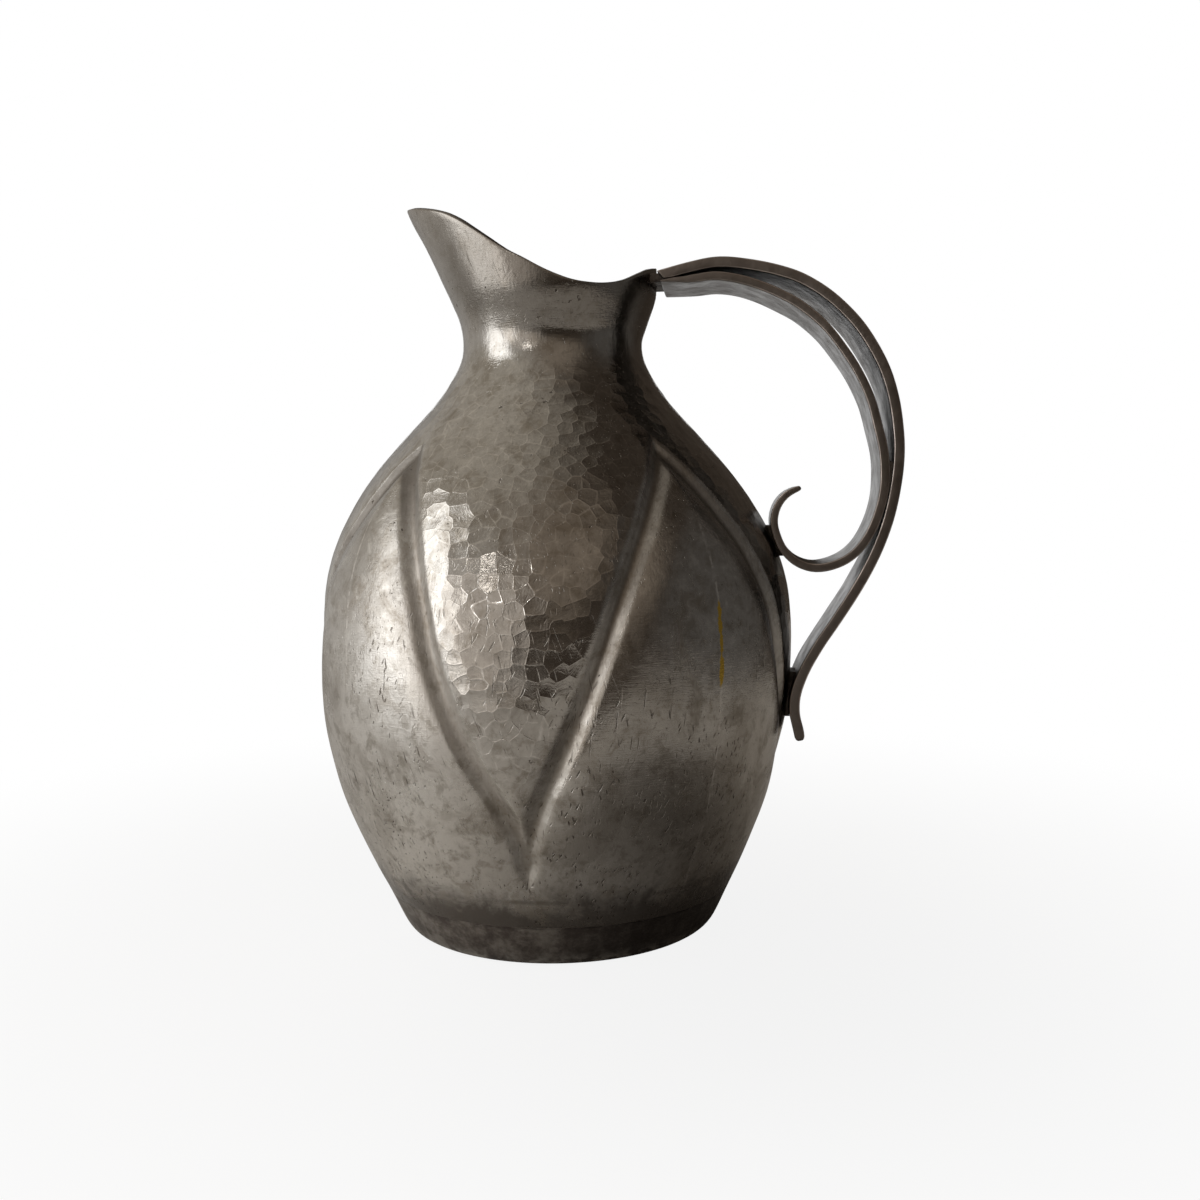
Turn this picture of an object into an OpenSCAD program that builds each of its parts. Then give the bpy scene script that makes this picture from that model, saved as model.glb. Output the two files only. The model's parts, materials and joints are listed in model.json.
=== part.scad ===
// Jug with a raised leaf pattern, a sheared lip and a handle of two curled straps.
// Origin: centre of the flat base. +Z up, +X towards the handle, -X towards the spout.

/* [Body] */
// Height of the spout tip above the base
total_h = 205; // [192:0.5:216]
// Height of the narrowest part of the neck
neck_h = 166; // [160:0.5:171]
// Radius of the belly at its widest
belly_r = 67.2; // [62:0.1:72]
// Radius of the body just above its bottom edge
base_r = 46.5; // [42:0.1:51]
// Radius of the neck at its narrowest
neck_r = 25.5; // [23:0.1:28]
// Sideways wander of the hand-raised body
sway = 0.45; // [0:0.05:0.8]
// Thickness of the sheet
wall = 1.6; // [1.3:0.1:2]
// Height of the separate bottom pan
pan_h = 12.2; // [10:0.1:15]
// Height of the rounded corner under the pan
pan_corner_h = 5; // [3.5:0.1:6.5]
// Width of the rounded corner under the pan
pan_corner_w = 8.4; // [6:0.1:10]

/* [Lip] */
// Distance from the axis to the spout tip
spout_r = 40.8; // [37:0.1:46]
// Radius of the rim on the handle side
rim_r = 29.9; // [28:0.1:32]
// Lowest point of the rim, as a share of the height from the neck to the spout tip
saddle_share = 0.341; // [0.26:0.005:0.42]
// How tightly the lip is drawn to a point
lip_draw = 3; // [2:0.1:4.5]

/* [Leaves] */
// Depth of the chased line around a leaf
groove_d = 1.5; // [0.6:0.1:2]
// Width of the chased line
groove_w = 7.4; // [5:0.1:9]
// Swell of a leaf beside its chased line
leaf_d = 0.4; // [0:0.1:1]
// Height of the ridge down the middle of a leaf
ridge_d = 0.7; // [0:0.1:1.2]

/* [Handle] */
// Width of both straps where they are widest
strap_w = 28; // [22:0.5:32]
// Thickness of the outer strap
outer_t = 2.85; // [2.4:0.05:3.6]
// Thickness of the inner strap
inner_t = 2.4; // [2:0.05:2.8]
// Furthest reach of the handle from the axis
reach = 97.5; // [90:0.1:104]
// Rise of the handle above the rim at its back
handle_rise = 0.15; // [0:0.05:3]
// Lowest point of the tail
tail_end = 54.6; // [48:0.1:60]

/* [Joints] */
// Height of the solder line above the pan
seam_t = 0.4; // [0.3:0.05:0.6]
// Solder between the two straps
strap_gap = 0.2; // [0.15:0.05:0.4]
// Solder between the handle and the body
seat_gap = 0.2; // [0.15:0.05:0.5]
// Length of the joint between the rim and the straps
joint_l = 2.1; // [1.8:0.1:4]
// Width of the two lower solder joints
pad_w = 12; // [8:0.5:16]

/* [Hidden] */
half_turn = 180;
full_turn = 360;
quarter = 90;
mirror_line = quarter / 2;
rad = PI / half_turn;
clear = 0.08;
round_sides = 180;

// Side view of the body, as shares of the neck height and of the radii.
low_h_shares = [0, 0.024, 0.048, 0.076, 0.12, 0.181, 0.241, 0.301, 0.361, 0.422, 0.476];
low_r_shares = [-0.07, 0, 0.064, 0.172, 0.343, 0.544, 0.711, 0.838, 0.936, 0.985, 1];
top_h_shares = [0.542, 0.602, 0.663, 0.723, 0.783, 0.843, 0.904, 0.964, 1];
top_r_shares = [0.993, 0.962, 0.887, 0.765, 0.602, 0.396, 0.18, 0.031, 0];
body_h = [for (s = concat(low_h_shares, top_h_shares)) s * neck_h];
body_r = concat([for (s = low_r_shares) base_r + s * (belly_r - base_r)],
                [for (s = top_r_shares) neck_r + s * (belly_r - neck_r)]);

// Above the neck the spout side and the handle side differ.
spout_h_shares = [0.16, 0.31, 0.46, 0.6, 0.74, 0.87, 0.96, 1, 1.15];
spout_r_shares = [0.045, 0.19, 0.363, 0.522, 0.694, 0.873, 0.975, 1, 1.02];
back_h_shares = [0.135, 0.28, 0.35, 0.525, 1.15];
back_r_shares = [0.34, 0.8, 0.95, 1, 1.05];
lip_h = total_h - neck_h;
saddle_h = neck_h + saddle_share * lip_h;
spout_hs = concat(body_h, [for (s = spout_h_shares) neck_h + s * lip_h]);
spout_rs = concat(body_r, [for (s = spout_r_shares) neck_r + s * (spout_r - neck_r)]);
back_hs = concat(body_h, [for (s = back_h_shares) neck_h + s * lip_h]);
back_rs = concat(body_r, [for (s = back_r_shares) neck_r + s * (rim_r - neck_r)]);

// Height of the rim going round from the spout tip to the handle.
rim_turn_shares = [0, 0.08, 0.167, 0.239, 0.283, 0.322, 0.369, 0.418, 0.461, 0.53, 0.6, 0.667,
                   0.722, 0.778, 0.847, 0.914, 1];
rim_rise_shares = [1, 0.945, 0.865, 0.777, 0.69, 0.588, 0.465, 0.343, 0.262, 0.128, 0.035, 0.008,
                   0.022, 0.07, 0.163, 0.241, 0.3];
rim_turns = [for (s = rim_turn_shares) s * half_turn];
rim_hs = [for (s = rim_rise_shares) saddle_h + s * (total_h - saddle_h)];

// Half the angle of a hammered field between two leaves, from its foot to the leaf tips.
field_h_shares = [0.1, 0.181, 0.211, 0.25, 0.301, 0.343, 0.386, 0.422, 0.458, 0.494, 0.53, 0.572,
                  0.614, 0.663, 0.699, 0.735, 0.765, 0.789, 0.804, 0.86];
field_a_shares = [-0.2, 0, 0.012, 0.056, 0.133, 0.204, 0.271, 0.324, 0.371, 0.411, 0.453, 0.504,
                  0.564, 0.64, 0.711, 0.789, 0.871, 0.942, 1, 1.25];
field_hs = [for (s = field_h_shares) s * neck_h];
field_as = [for (s = field_a_shares) s * mirror_line];

// How far the body wanders towards the handle, from its base to the rim.
sway_h_shares = [0.08, 0.18, 0.36, 0.55, 0.68, 0.8, 0.92, 1, 1.24];
sway_x_shares = [0, -0.5, -0.35, 1, 0, -0.9, -0.2, 0.5, 0.2];
sway_hs = [for (s = sway_h_shares) s * neck_h];
sway_xs = [for (s = sway_x_shares) s * sway];

// Smooth curve through given heights.
function slope(xs, ys, i) =
    let (a = max(i - 1, 0), b = min(i + 1, len(xs) - 1))
    (ys[b] - ys[a]) / (xs[b] - xs[a]);
function span(x, xs, i = 0) = i >= len(xs) - 2 || x < xs[i + 1] ? i : span(x, xs, i + 1);
function through(x, xs, ys) =
    let (i = span(x, xs), d = xs[i + 1] - xs[i], t = min(max((x - xs[i]) / d, 0), 1),
         t2 = t * t, t3 = t2 * t)
    (2 * t3 - 3 * t2 + 1) * ys[i] + (t3 - 2 * t2 + t) * d * slope(xs, ys, i)
    + (3 * t2 - 2 * t3) * ys[i + 1] + (t3 - t2) * d * slope(xs, ys, i + 1);
function ease(t) = let (u = min(max(t, 0), 1)) u * u * (3 - 2 * u);
function bump(t) = abs(t) >= 1 ? 0 : pow(1 - t * t, 2);

function back_at(z) = through(z, back_hs, back_rs);
function sway_at(z) = through(z, sway_hs, sway_xs);
function side_at(z) = back_at(z) + sway_at(z);
function spout_at(z) = through(z, spout_hs, spout_rs);
function rim_at(a) = through(a, rim_turns, rim_hs);
function field_at(z) = through(z, field_hs, field_as);

// a is the turn from the spout, 0 to 180 degrees.
function round_at(z, a) =
    z <= neck_h ? back_at(z)
    : back_at(z) + (spout_at(z) - back_at(z)) * pow((1 + cos(a)) / 2, lip_draw);

// The raised leaves and their chased borders. f is the turn from the middle of a field.
fade_low_share = 0.12;
fade_high_share = 0.28;
fade_low = fade_low_share * neck_h;
fade_high = fade_high_share * neck_h;
step_h = 1;
least_turn = 1;
leaf_swell = 9;
function relief(z, f, r) =
    let (edge = field_at(z), lean = (field_at(z + step_h) - edge) / step_h * rad * r,
         s = (f - edge) * rad * r / sqrt(1 + lean * lean),
         inside = max(f - edge, 0) / max(mirror_line - edge, least_turn),
         low = ease((z - fade_low) / (fade_high - fade_low)))
    z > field_hs[len(field_hs) - 1] ? 0
    : low * (leaf_d * ease(s / leaf_swell) + ridge_d * min(inside, 1) * ease(s / groove_w))
      - groove_d * bump(2 * s / groove_w);

// Grid columns: closer together beside the chased borders.
half_cols = 9;
cols = 8 * half_cols;
body_rows = 30;
lip_rows = 10;
rows = body_rows + lip_rows;
body_skip = 3;
lip_skip = 2;
shoulder_share = 0.95;
spread_from_share = 0.8;
spread_to_share = 0.93;
even_to_share = 0.16;
shoulder_h = shoulder_share * neck_h;
spread_from = spread_from_share * neck_h;
spread_to = spread_to_share * neck_h;
even_to = even_to_share * neck_h;
body_z0 = pan_h + seam_t;
edge_turn = 1.5;
function col_even(k) = mirror_line * k / half_cols;
function col_near(k, e, w) =
    let (m = min(max(e, w + edge_turn), mirror_line - w - edge_turn))
    k <= 2 ? (m - w) * k / 2
    : k <= 6 ? m + w * (k - 4) / 2
    : m + w + (mirror_line - m - w) * (k - 6) / (half_cols - 6);
function col_turn(k, z) =
    let (r = back_at(z), w = groove_w / 2 / (r * rad),
         even = max(ease((z - spread_from) / (spread_to - spread_from)),
                    1 - ease((z - body_z0) / (even_to - body_z0))))
    even * col_even(k) + (1 - even) * col_near(k, field_at(z), w);
function col_angle(j, z) =
    let (q = floor(j / (2 * half_cols)), k = j % (2 * half_cols))
    q * quarter + (k <= half_cols ? col_turn(k, z) : quarter - col_turn(2 * half_cols - k, z));
function fold(a) = let (m = a % quarter) min(m, quarter - m);
function from_spout(a) = a <= half_turn ? a : full_turn - a;

function row_h(i, a) =
    i <= body_rows ? body_z0 + (shoulder_h - body_z0) * i / body_rows
    : shoulder_h + (rim_at(from_spout(a)) - shoulder_h) * (i - body_rows) / lip_rows;
// A grid corner: turn from the spout, height, radius.
function corner(i, j) =
    let (level = row_h(min(i, body_rows), 0), a = col_angle(j, level), z = row_h(i, a),
         r = round_at(z, from_spout(a)))
    [a, z, r + relief(z, fold(a), r)];
function lean_at(z, a) = (round_at(z + step_h, a) - round_at(z, a)) / step_h;
function on_turn(a, r, z) = [sway_at(z) - r * cos(a), -r * sin(a), z];
function outer_pt(i, j) = let (c = corner(i, j)) on_turn(c[0], c[2], c[1]);
function inner_pt(i, j) =
    let (c = corner(i, j), l = i == 0 ? 0 : lean_at(c[1], from_spout(c[0])),
         n = wall / sqrt(1 + l * l))
    on_turn(c[0], c[2] - n, c[1] + n * l);

in_rows = concat([for (i = [0:body_skip:body_rows]) i],
                 [for (i = [body_rows + lip_skip:lip_skip:rows]) i]);
shell_pts = concat([for (i = [0:rows]) for (j = [0:cols - 1]) outer_pt(i, j)],
                   [for (i = in_rows) for (j = [0:cols - 1]) inner_pt(i, j)]);
in_start = (rows + 1) * cols;
in_count = len(in_rows);
function at(i, j) = i * cols + j % cols;
function at_in(i, j) = in_start + i * cols + j % cols;
shell_faces = concat(
    [for (i = [0:rows - 1]) for (j = [0:cols - 1]) for (h = [0, 1])
        h == 0 ? [at(i, j), at(i, j + 1), at(i + 1, j + 1)]
               : [at(i, j), at(i + 1, j + 1), at(i + 1, j)]],
    [for (i = [0:in_count - 2]) for (j = [0:cols - 1]) for (h = [0, 1])
        h == 0 ? [at_in(i, j), at_in(i + 1, j + 1), at_in(i, j + 1)]
               : [at_in(i, j), at_in(i + 1, j), at_in(i + 1, j + 1)]],
    [for (j = [0:cols - 1]) for (h = [0, 1])
        h == 0 ? [at(rows, j), at(rows, j + 1), at_in(in_count - 1, j + 1)]
               : [at(rows, j), at_in(in_count - 1, j + 1), at_in(in_count - 1, j)]],
    [for (j = [0:cols - 1]) for (h = [0, 1])
        h == 0 ? [at(0, j), at_in(0, j + 1), at(0, j + 1)]
               : [at(0, j), at_in(0, j), at_in(0, j + 1)]]);

// Handle outlines, side view. Shares run from the rim joint to the reach, and tail to top.
start_x = rim_r + joint_l;
handle_top = rim_at(half_turn) + handle_rise;
function hx(s) = start_x + s * (reach - start_x);
function hz(s) = tail_end + s * (handle_top - tail_end);
outer_shares = [[0, 0.978], [0.13, 0.993], [0.245, 1], [0.367, 0.994], [0.492, 0.979],
    [0.61, 0.956], [0.732, 0.914], [0.841, 0.856], [0.927, 0.783], [0.976, 0.711],
    [0.998, 0.636], [1, 0.576], [0.985, 0.517], [0.954, 0.449], [0.908, 0.389],
    [0.829, 0.316], [0.739, 0.246], [0.671, 0.196], [0.613, 0.147], [0.575, 0.096],
    [0.569, 0.058], [0.584, 0.024], [0.592, 0]];
outer_move_shares = [0, 0, 0, 0, 0, 0, 0, 0, 0, 0, 0, 0, 0, 0, 0, 0.2, 0.5, 0.8, 1, 1, 1, 1, 1];
inner_shares = [[0.029, 0.954], [0.13, 0.956], [0.222, 0.959], [0.312, 0.952], [0.405, 0.936],
    [0.492, 0.914], [0.574, 0.889], [0.665, 0.85], [0.744, 0.801], [0.803, 0.756],
    [0.857, 0.702], [0.89, 0.644], [0.91, 0.596], [0.915, 0.55], [0.906, 0.504],
    [0.874, 0.455], [0.825, 0.416], [0.764, 0.39], [0.689, 0.375], [0.615, 0.371],
    [0.548, 0.382], [0.498, 0.405], [0.47, 0.434], [0.46, 0.461], [0.474, 0.489],
    [0.508, 0.51], [0.56, 0.524]];
inner_move_shares = [0, 0, 0, 0, 0, 0, 0, 0, 0, 0, 0, 0, 0, 0, 0, 0, 0.05, 0.2, 0.5, 0.8, 1, 1, 1,
    1, 1, 1, 1];
inner_drop_shares = [1, 1, 1, 0.8, 0.5, 0.25, 0.1, 0, 0, 0, 0, 0, 0, 0, 0, 0, 0, 0, 0, 0, 0, 0, 0,
    0, 0, 0, 0];
touch_move_shares = [0, 0, 0, 0, 0, 0, 0, 0.1, 0.3, 0.5, 0.8, 1, 1, 1, 1, 0.9, 0.5, 0.2, 0, 0, 0,
    0, 0, 0, 0, 0, 0];

// Thickness of the inner strap along its length: a wedge at the rim, a worn tip at the scroll.
inner_thick_shares = [0.2, 0.88, 1, 1, 1, 1, 1, 0.96, 0.94, 0.95, 0.98, 1.03, 1.07, 1.07, 1.05,
    1.02, 1, 1, 1, 0.98, 0.95, 0.9, 0.87, 0.85, 0.85, 0.8, 0.6];

// Curve through points, with steps between each two.
steps = 3;
function knot(p, i) = p[min(max(i, 0), len(p) - 1)];
function bend(p, i, t) =
    let (a = knot(p, i - 1), b = knot(p, i), c = knot(p, i + 1), d = knot(p, i + 2))
    (2 * b + (c - a) * t + (2 * a - 5 * b + 4 * c - d) * t * t
     + (3 * b - a - 3 * c + d) * t * t * t) / 2;
function curve(p) = concat([for (i = [0:len(p) - 2]) for (k = [0:steps - 1]) bend(p, i, k / steps)],
                           [p[len(p) - 1]]);
function left_of(v) = [-v[1], v[0]] / norm(v);
// The strap ends at the rim are cut on a slant.
end_slant_shares = [-0.55, 0.83];
function normal(c, i) =
    i == 0 ? end_slant_shares : left_of(c[min(i + 1, len(c) - 1)] - c[i - 1]);
// The far side of a strap: the line c moved sideways by its thickness.
function share_at(s, i) =
    let (k = i / steps, a = min(floor(k), len(s) - 1), b = min(a + 1, len(s) - 1))
    s[a] + (s[b] - s[a]) * (k - floor(k));
function beside(c, t, s) = [for (i = [0:len(c) - 1]) c[i] + normal(c, i) * t * share_at(s, i)];
function turned(c) = [for (i = [len(c) - 1:-1:0]) c[i]];
function place(shares) = [for (s = shares) [hx(s[0]), hz(s[1])]];
function moved(p, moves, d) = [for (i = [0:len(p) - 1]) p[i] + [moves[i] * d, 0]];
function lowered(p, moves, d) = [for (i = [0:len(p) - 1]) p[i] - [0, moves[i] * d]];
function between(c, lo, hi, right) =
    [for (p = c) if (p[1] >= lo && p[1] <= hi && p[0] > right) p];
function x_on(c, z, right) =
    [for (i = [0:len(c) - 2])
        let (a = c[i], b = c[i + 1])
        if ((a[1] - z) * (b[1] - z) <= 0 && a[1] != b[1] && a[0] > right)
            a[0] + (b[0] - a[0]) * (z - a[1]) / (b[1] - a[1])][0];

function z_on(c, x) =
    [for (i = [0:len(c) - 2])
        let (a = c[i], b = c[i + 1])
        if ((a[0] - x) * (b[0] - x) <= 0 && a[0] != b[0])
            a[1] + (b[1] - a[1]) * (x - a[0]) / (b[0] - a[0])][0];

// Where a strap comes nearest to the body, between two of its points.
function body_gap(c, first, last) = max([for (i = [first:last]) side_at(c[i][1]) - c[i][0]]);
function nearest(c, first, last) =
    let (most = body_gap(c, first, last))
    [for (i = [first:last]) if (side_at(c[i][1]) - c[i][0] >= most) i][0];
function part_of(c, first, last) = [for (i = [first:last]) c[i]];

// Outer strap: its tail is moved until it rests on the body.
tail_first = steps * 18;
tail_last = steps * 21;
outer_first = curve(place(outer_shares));
tail_move = body_gap(beside(outer_first, -outer_t, [1]), tail_first, tail_last) + seat_gap;
outer_line = curve(moved(place(outer_shares), outer_move_shares, tail_move));
outer_under = beside(outer_line, -outer_t, [1]);

// Inner strap: it lies close under the outer one from the rim, is pressed to it half way down,
// and its scroll rests on the body.
touch_low_share = 0.49;
touch_high_share = 0.585;
touch_side_share = 0.85;
touch_low = hz(touch_low_share);
touch_high = hz(touch_high_share);
touch_x = hx(touch_side_share);
drop_first = 1;
drop_last = steps * 4;
inner_over_start = beside(curve(place(inner_shares)), inner_t, inner_thick_shares);
drop_move = strap_gap - min([for (p = part_of(inner_over_start, drop_first, drop_last))
                                z_on(outer_under, p[0]) - p[1]]);
inner_start = lowered(place(inner_shares), inner_drop_shares, drop_move);
inner_first = beside(curve(inner_start), inner_t, inner_thick_shares);
touch_move = min([for (p = between(inner_first, touch_low, touch_high, touch_x))
                     x_on(outer_under, p[1], touch_x) - p[0]]) - strap_gap;
scroll_first = steps * 20;
scroll_last = steps * 25;
inner_second = moved(inner_start, touch_move_shares, touch_move);
scroll_move = body_gap(beside(curve(inner_second), inner_t, inner_thick_shares), scroll_first, scroll_last)
    + seat_gap;
inner_line = curve(moved(inner_second, inner_move_shares, scroll_move));
inner_over = beside(inner_line, inner_t, inner_thick_shares);

// Front view of the straps: they narrow downwards.
front_h_shares = [-0.2, 0, 0.3, 0.5, 0.65, 0.83, 1.2];
front_w_shares = [0.84, 0.84, 0.87, 0.88, 0.93, 1, 1];
front_right = [for (i = [0:len(front_h_shares) - 1])
    [front_w_shares[i] * strap_w / 2, hz(front_h_shares[i])]];
front_left = [for (i = [len(front_right) - 1:-1:0]) [-front_right[i][0], front_right[i][1]]];

module strap(near, far) {
    intersection() {
        rotate([quarter, 0, 0])
            linear_extrude(height = strap_w, center = true)
                polygon(concat(near, turned(far)));
        rotate([quarter, 0, quarter])
            linear_extrude(height = 2 * reach)
                polygon(concat(front_right, front_left));
    }
}

// A little more than the body, to shape the solder that lies against it.
cut_steps = 6;
cut_over = 2;
cut_sides = 720;
module body_cutter(lo, hi) {
    from = lo - cut_over;
    rise = hi - lo + 2 * cut_over;
    rotate_extrude($fn = cut_sides)
        polygon(concat([[0, from]],
            [for (i = [0:cut_steps])
                let (z = from + rise * i / cut_steps) [side_at(z) + clear, z]],
            [[0, from + rise]]));
}

// Solder between the body and a line of points that runs upwards.
pad_root_share = 0.5;
module pad(right_side, w) {
    low = right_side[0][1];
    high = right_side[len(right_side) - 1][1];
    root = pad_root_share * min(side_at(low), side_at(high));
    difference() {
        rotate([quarter, 0, 0])
            linear_extrude(height = w, center = true)
                polygon(concat([[root, low]], right_side, [[root, high]]));
        body_cutter(low, high);
    }
}

module body_shell() {
    color("#8f8981")
        polyhedron(points = shell_pts, faces = shell_faces, convexity = 10);
}

// Spun pan that closes the body from below, with the flat rest face.
pan_steps = 6;
pan_flat = base_r - pan_corner_w;
module bottom_pan() {
    corner_pts = [for (k = [0:pan_steps])
        let (t = quarter * k / pan_steps)
        [pan_flat + pan_corner_w * sin(t), pan_corner_h * (1 - cos(t))]];
    side_pts = [for (k = [1:pan_steps])
        let (z = pan_corner_h + (pan_h - pan_corner_h) * k / pan_steps)
        [max(back_at(z), base_r), z]];
    inside_pts = [for (k = [pan_steps:-1:1])
        let (z = pan_corner_h + (pan_h - pan_corner_h) * k / pan_steps)
        [max(back_at(z), base_r) - wall, z]];
    inside_corner = [for (k = [pan_steps:-1:0])
        let (t = quarter * k / pan_steps)
        [pan_flat + (pan_corner_w - wall) * sin(t), wall + (pan_corner_h - wall) * (1 - cos(t))]];
    color("#7d776f")
        rotate_extrude($fn = round_sides)
            polygon(concat([[0, 0]], corner_pts, side_pts, inside_pts, inside_corner,
                           [[0, wall]]));
}

// Solder line where the pan meets the body.
module bottom_seam() {
    color("#6a655e")
        rotate_extrude($fn = round_sides)
            polygon([[back_at(pan_h) - wall, pan_h], [back_at(pan_h), pan_h],
                     [back_at(body_z0), body_z0], [back_at(body_z0) - wall, body_z0]]);
}

module outer_strap() {
    color("#5c534c")
        strap(outer_line, outer_under);
}

module inner_strap() {
    color("#665d56")
        strap(inner_line, inner_over);
}

// Solder block that holds both strap ends to the rim.
module rim_joint() {
    color("#48423c")
        pad([inner_line[0], inner_over[0], outer_under[0], outer_line[0]], strap_w);
}

// Solder between the straps where they are pressed together.
module strap_joint() {
    right = between(outer_under, touch_low, touch_high, touch_x);
    left = between(inner_over, touch_low, touch_high, touch_x);
    color("#48423c")
        strap(right, left);
}

// Solder between the scroll and the shoulder of the body.
pad_points = 3;
module scroll_joint() {
    mid = nearest(inner_over, scroll_first, scroll_last);
    color("#48423c")
        pad(part_of(inner_over, mid - pad_points, mid + pad_points), pad_w);
}

// Solder between the tail and the belly.
module tail_joint() {
    mid = nearest(outer_under, tail_first, tail_last);
    color("#48423c")
        pad(turned(part_of(outer_under, mid - pad_points, mid + pad_points)), pad_w);
}

body_shell();
bottom_pan();
bottom_seam();
outer_strap();
inner_strap();
rim_joint();
strap_joint();
scroll_joint();
tail_joint();
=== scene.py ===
# %% [markdown]
# # A hand-raised pewter jug
# The real jug is one sheet of pewter, raised with the hammer over a stake. Four smooth leaves stand
# between four hammered fields, the lip is sheared to a spout, and two curled straps make the handle.
# The measured model gives the place of every piece. This lesson gives each piece its finished skin.

# %% Load the measured model and keep its size
import json
import math
import bpy
import bmesh
import numpy as np
from mathutils import Matrix, Vector, noise

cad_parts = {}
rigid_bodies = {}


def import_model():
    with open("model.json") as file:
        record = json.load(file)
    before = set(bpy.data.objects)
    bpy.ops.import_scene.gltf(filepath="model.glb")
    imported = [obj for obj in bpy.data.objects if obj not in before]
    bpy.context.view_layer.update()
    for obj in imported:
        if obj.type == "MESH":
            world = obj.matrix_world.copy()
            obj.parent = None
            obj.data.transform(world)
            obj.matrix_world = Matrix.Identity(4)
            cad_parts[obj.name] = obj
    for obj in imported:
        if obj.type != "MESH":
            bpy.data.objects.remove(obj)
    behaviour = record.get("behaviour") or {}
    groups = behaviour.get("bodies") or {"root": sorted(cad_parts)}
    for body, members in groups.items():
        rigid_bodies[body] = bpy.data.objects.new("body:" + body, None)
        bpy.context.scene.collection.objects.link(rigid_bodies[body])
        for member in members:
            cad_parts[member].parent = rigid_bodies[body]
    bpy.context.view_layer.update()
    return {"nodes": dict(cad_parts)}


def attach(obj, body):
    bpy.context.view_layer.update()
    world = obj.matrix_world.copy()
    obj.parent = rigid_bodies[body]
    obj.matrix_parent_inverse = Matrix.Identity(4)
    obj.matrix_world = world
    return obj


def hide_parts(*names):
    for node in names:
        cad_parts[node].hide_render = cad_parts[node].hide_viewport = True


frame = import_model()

mm = 0.001

# %% [markdown]
# ## Camera
# The photograph is square, and the camera stood a little above the belly, close to the jug.
# The place and the tilt were worked out from the outline of the body and from the ellipse of its foot.
# A lens of 38 mm on the usual 36 mm sensor gives the same strength of perspective.

# %% Camera
eye = Vector((52.843, -364.854, 122.666)) * mm
yaw, pitch, roll = (math.radians(v) for v in (6.2705, 4.606, -0.7976))
ahead = Vector((-math.sin(yaw) * math.cos(pitch), math.cos(yaw) * math.cos(pitch), -math.sin(pitch)))
level = Vector((math.cos(yaw), math.sin(yaw), 0))
above = level.cross(ahead)
right = level * math.cos(roll) + above * math.sin(roll)
up = above * math.cos(roll) - level * math.sin(roll)

lens = bpy.data.cameras.new("photo_camera")
lens.lens = 38.1
lens.sensor_width = 36
lens.clip_start = 0.01
camera = bpy.data.objects.new("photo_camera", lens)
camera.matrix_world = Matrix(((right.x, up.x, -ahead.x, eye.x), (right.y, up.y, -ahead.y, eye.y),
                              (right.z, up.z, -ahead.z, eye.z), (0, 0, 0, 1)))
bpy.context.scene.collection.objects.link(camera)
bpy.context.scene.camera = camera
print("camera", round((eye - Vector((0, 0, 0.1))).length, 3), "m from the belly")

# %% [markdown]
# ## The form of the body
# A raiser works to a template: the side view of the body. Here it is a list of heights and radii,
# joined by a smooth curve. Above the neck the wall leans out further towards the spout.
# The same short lists give the height of the sheared rim and the outline of the leaves.

# %% Side view, rim and leaves in mm and degrees
neck_h, belly_r, base_r, neck_r, wall = 166.0, 67.2, 46.5, 25.5, 1.6
total_h, spout_r, rim_r, saddle_h, foot_h = 205.0, 40.8, 29.9, 179.299, 12.6
lip_h, sway = total_h - neck_h, 0.45

body_h = neck_h * np.array([0, 0.024, 0.048, 0.076, 0.12, 0.181, 0.241, 0.301, 0.361, 0.422, 0.476,
                            0.542, 0.602, 0.663, 0.723, 0.783, 0.843, 0.904, 0.964, 1])
body_r = np.concatenate((
    base_r + (belly_r - base_r) * np.array([-0.07, 0, 0.064, 0.172, 0.343, 0.544, 0.711, 0.838,
                                            0.936, 0.985, 1]),
    neck_r + (belly_r - neck_r) * np.array([0.993, 0.962, 0.887, 0.765, 0.602, 0.396, 0.18,
                                            0.031, 0])))
spout_line = (np.append(body_h, neck_h + lip_h * np.array([0.16, 0.31, 0.46, 0.6, 0.74, 0.87, 0.96, 1,
                                                           1.15])),
              np.append(body_r, neck_r + (spout_r - neck_r) * np.array(
                  [0.045, 0.19, 0.363, 0.522, 0.694, 0.873, 0.975, 1, 1.02])))
back_line = (np.append(body_h, neck_h + lip_h * np.array([0.135, 0.28, 0.35, 0.525, 1.15])),
             np.append(body_r, neck_r + (rim_r - neck_r) * np.array([0.34, 0.8, 0.95, 1, 1.05])))
rim_line = (180 * np.array([0, 0.08, 0.167, 0.239, 0.283, 0.322, 0.369, 0.418, 0.461, 0.53, 0.6,
                            0.667, 0.722, 0.778, 0.847, 0.914, 1]),
            saddle_h + (total_h - saddle_h) * np.array(
                [1, 0.945, 0.865, 0.777, 0.69, 0.588, 0.465, 0.343, 0.262, 0.128, 0.035, 0.008,
                 0.022, 0.07, 0.163, 0.241, 0.3]))
field_line = (neck_h * np.array([0.1, 0.181, 0.211, 0.25, 0.301, 0.343, 0.386, 0.422, 0.458, 0.494,
                                 0.53, 0.572, 0.614, 0.663, 0.699, 0.735, 0.765, 0.789, 0.804,
                                 0.86]),
              45 * np.array([-0.2, 0, 0.012, 0.056, 0.133, 0.204, 0.271, 0.324, 0.371, 0.411,
                             0.453, 0.504, 0.564, 0.64, 0.711, 0.789, 0.871, 0.942, 1, 1.25]))
sway_line = (neck_h * np.array([0.08, 0.18, 0.36, 0.55, 0.68, 0.8, 0.92, 1, 1.24]),
             sway * np.array([0, -0.5, -0.35, 1, 0, -0.9, -0.2, 0.5, 0.2]))
print("side view of", len(body_h), "points, leaf border of", len(field_line[0]))

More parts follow.
